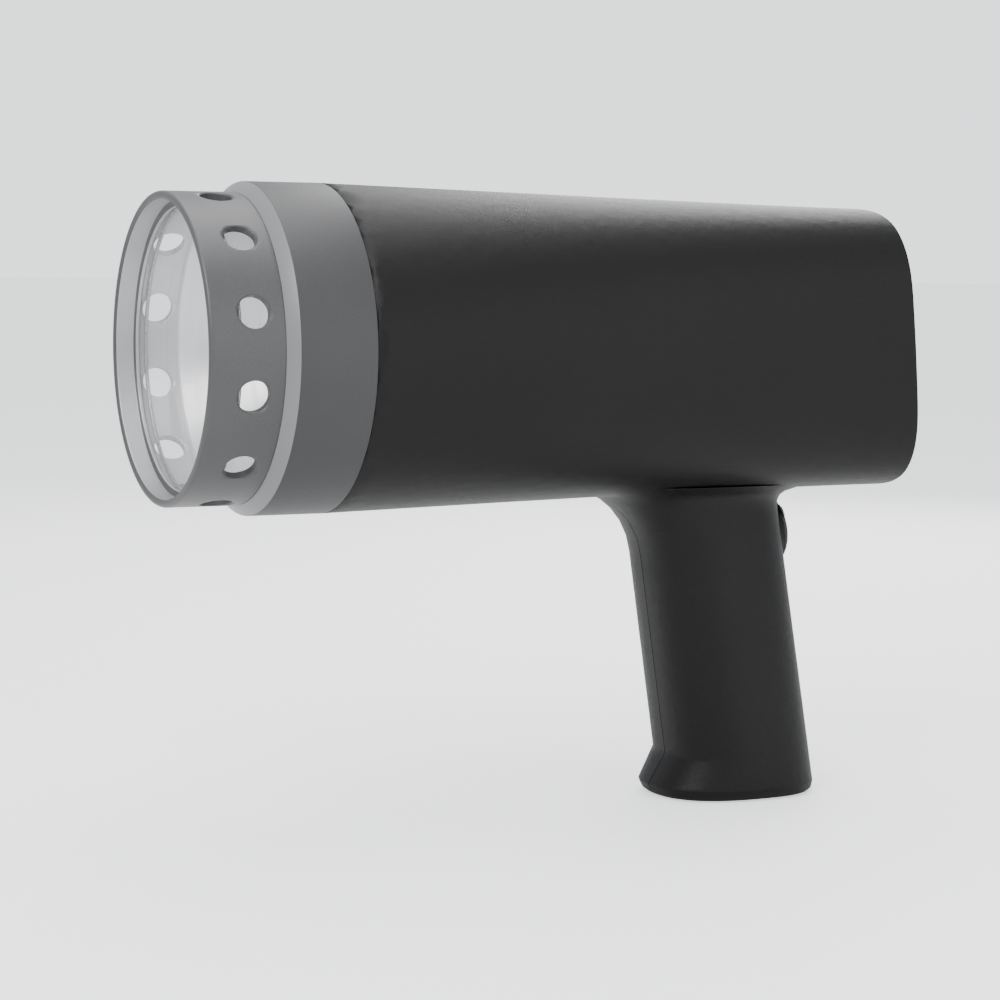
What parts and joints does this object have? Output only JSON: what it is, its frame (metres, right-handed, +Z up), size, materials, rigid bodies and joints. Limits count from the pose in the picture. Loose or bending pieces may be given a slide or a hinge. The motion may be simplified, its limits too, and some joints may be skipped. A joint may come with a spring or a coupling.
{
  "type": "timing light",
  "caption": "Gun-shaped stroboscopic timing light: vented round lamp hood, two-shell body, tilted panel with display, keys and knobs, pistol grip with rocker switch.",
  "frame": {"origin": "middle of the grip's base, on the plane that the base rests on", "axes": "+Z up along the upright, -Y the way the lamp shines, +X the user's left"},
  "size_m": [0.1, 0.248, 0.197],
  "materials": {
    "black_shell": "fine spark texture, satin black",
    "grey_hood": "moulded mid grey, fine texture",
    "dark_grey_band": "moulded dark grey, fine texture",
    "lens": "clear polished",
    "spring_steel": "bright wire",
    "bright_aluminium": "spun and polished",
    "tube_glass": "clear quartz",
    "ceramic": "unglazed white ceramic",
    "black_plastic": "moulded black",
    "silver_panel": "silver-grey satin paint",
    "window": "clear acrylic",
    "lcd": "grey liquid-crystal glass",
    "rubber_strip": "striped conductive rubber",
    "circuit_board": "green solder mask",
    "white_key": "satin white",
    "grey_knob": "satin silver-grey",
    "nickel": "nickel plate",
    "screw_steel": "zinc plate",
    "black_gloss": "glossy black",
    "capacitor_sleeve": "shrink sleeve",
    "ferrite": "sintered ferrite",
    "winding_tape": "yellow winding tape",
    "cell_sleeve": "green sleeve"
  },
  "bodies": {
    "light": {"housing_left": "black_shell", "housing_right": "black_shell", "housing_screws": "screw_steel", "vent_hood": "grey_hood", "grey_band": "dark_grey_band", "lens_glass": "lens", "lens_snap_ring": "spring_steel", "reflector": "bright_aluminium", "lamp_bulkhead": "black_plastic", "lamp_base": "ceramic", "flash_tube": "tube_glass", "lamp_pins": "nickel", "trigger_coil": "black_gloss", "power_board": "circuit_board", "power_board_screws": "screw_steel", "flash_capacitor": "capacitor_sleeve", "transformer_core": "ferrite", "transformer_winding": "winding_tape", "fascia_plate": "silver_panel", "display_frame": "black_plastic", "display_window": "window", "display_glass": "lcd", "display_connectors": "rubber_strip", "control_board": "circuit_board", "control_board_screws": "screw_steel", "key_switches": "black_plastic", "fine_potentiometer": "nickel", "coarse_potentiometer": "nickel", "potentiometer_nuts": "nickel", "trigger_socket": "black_plastic", "switch_body": "black_gloss", "switch_terminals": "nickel", "battery_cells": "cell_sleeve", "battery_lower_holder": "black_plastic", "battery_upper_holder": "black_plastic", "charge_socket": "black_plastic"},
    "key_1": {"key_1": "white_key"},
    "key_2": {"key_2": "white_key"},
    "key_3": {"key_3": "white_key"},
    "key_4": {"key_4": "white_key"},
    "fine_knob": {"fine_knob": "grey_knob", "fine_shaft": "nickel"},
    "coarse_knob": {"coarse_knob": "grey_knob", "coarse_shaft": "nickel"},
    "switch_rocker": {"switch_rocker": "black_gloss"}
  },
  "joints": [
    {"name": "key_1_press", "type": "slide", "parent": "light", "child": "key_1", "axis": [0, -0.9969, -0.0785], "range_m": [0, 0.0008], "stiffness_N_per_m": 1500, "springref_m": -0.0002},
    {"name": "key_2_press", "type": "slide", "parent": "light", "child": "key_2", "axis": [0, -0.9969, -0.0785], "range_m": [0, 0.0008], "stiffness_N_per_m": 1500, "springref_m": -0.0002},
    {"name": "key_3_press", "type": "slide", "parent": "light", "child": "key_3", "axis": [0, -0.9969, -0.0785], "range_m": [0, 0.0008], "stiffness_N_per_m": 1500, "springref_m": -0.0002},
    {"name": "key_4_press", "type": "slide", "parent": "light", "child": "key_4", "axis": [0, -0.9969, -0.0785], "range_m": [0, 0.0008], "stiffness_N_per_m": 1500, "springref_m": -0.0002},
    {"name": "fine_knob_turn", "type": "hinge", "parent": "light", "child": "fine_knob", "pos_m": [-0.0036, 0.03665, 0.12607], "axis": [0, 0.9969, 0.0785], "range_deg": [-150, 150]},
    {"name": "coarse_knob_turn", "type": "hinge", "parent": "light", "child": "coarse_knob", "pos_m": [-0.028, 0.03663, 0.12626], "axis": [0, 0.9969, 0.0785], "range_deg": [-150, 150]},
    {"name": "switch_rock", "type": "hinge", "parent": "light", "child": "switch_rocker", "pos_m": [0, 0.00838, 0.0867], "axis": [1, 0, 0], "range_deg": [0, 20]}
  ]
}
